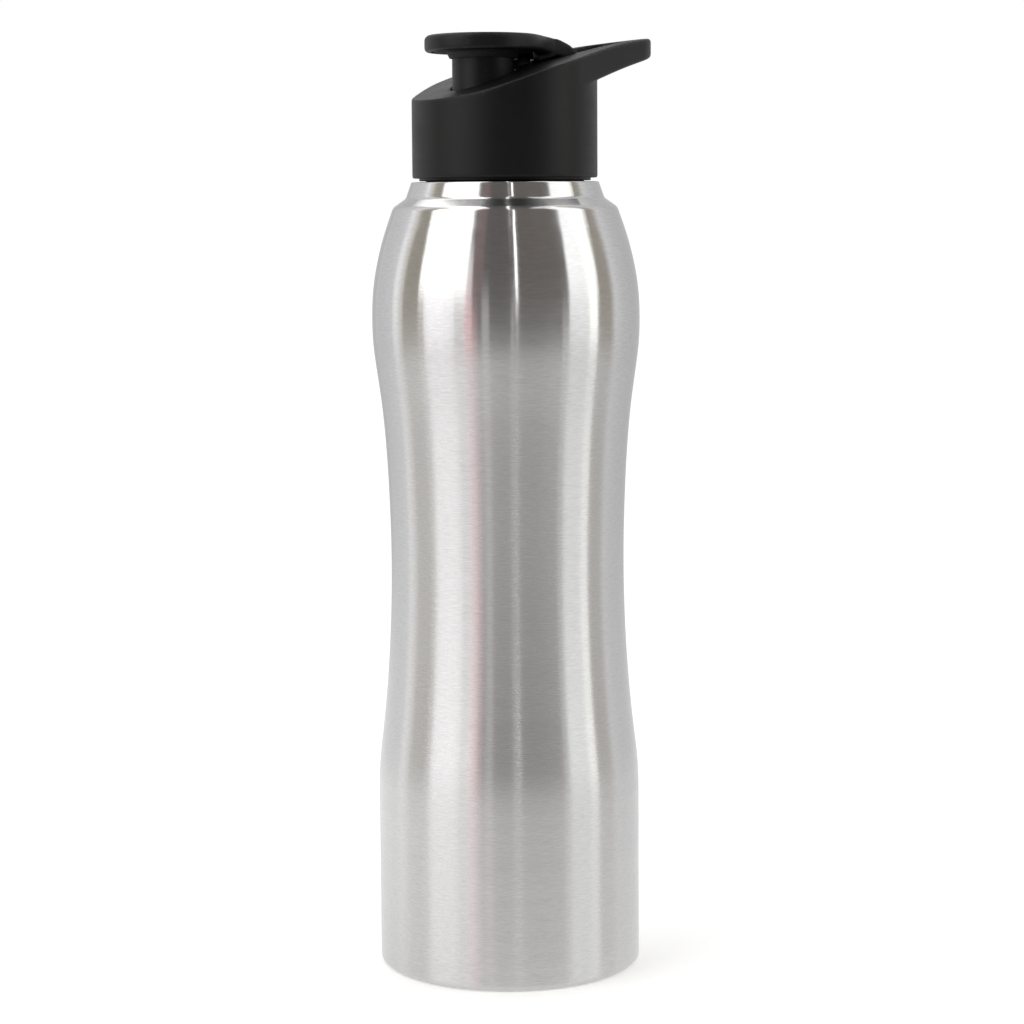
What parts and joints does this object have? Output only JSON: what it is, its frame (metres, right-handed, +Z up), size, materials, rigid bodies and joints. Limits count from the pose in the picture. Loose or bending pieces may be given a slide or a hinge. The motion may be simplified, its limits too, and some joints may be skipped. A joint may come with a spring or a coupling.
{
  "type": "water bottle",
  "caption": "Hourglass single-wall steel sports bottle with a screw cap, drinking spout, flip lid and finger loop, sized for a bicycle bottle cage.",
  "frame": {"origin": "centre of the base on the bottle's axis, in the plane that the bottle stands on", "axes": "+Z up along the bottle's axis, +X towards the cap's finger loop when the cap is screwed home"},
  "size_m": [0.082, 0.073, 0.2553],
  "materials": {
    "brushed_steel": "brushed round the bottle, satin",
    "bright_steel": "ground bright",
    "black_plastic": "matte moulded polypropylene",
    "dark_silicone": "matte",
    "clear_silicone": "matte, milky"
  },
  "bodies": {
    "bottle": {"bottle_body": "brushed_steel", "base_plate": "brushed_steel"},
    "cap_seal": {"cap_gasket": "clear_silicone"},
    "cap": {"cap_shell": "black_plastic", "cap_liner": "black_plastic", "drinking_spout": "black_plastic", "spout_seal": "clear_silicone", "vent_valve": "dark_silicone", "hinge_pin": "bright_steel"},
    "lid": {"flip_lid": "black_plastic", "lid_plug": "dark_silicone"}
  },
  "joints": [
    {"name": "cap_lift", "type": "slide", "parent": "bottle", "child": "cap_seal", "axis": [0, 0, 1], "range_m": [0, 0.016]},
    {"name": "cap_turn", "type": "hinge", "parent": "cap_seal", "child": "cap", "pos_m": [0, 0, 0.21605], "axis": [0, 0, 1], "range_deg": [0, 1440]},
    {"name": "lid_flip", "type": "hinge", "parent": "cap", "child": "lid", "pos_m": [0.02, 0, 0.2466], "axis": [0, 1, 0], "range_deg": [0, 110]}
  ],
  "couplings": [
    {"joint": "cap_lift", "follows": "cap_turn", "m_per_rad": 0.0006366}
  ]
}
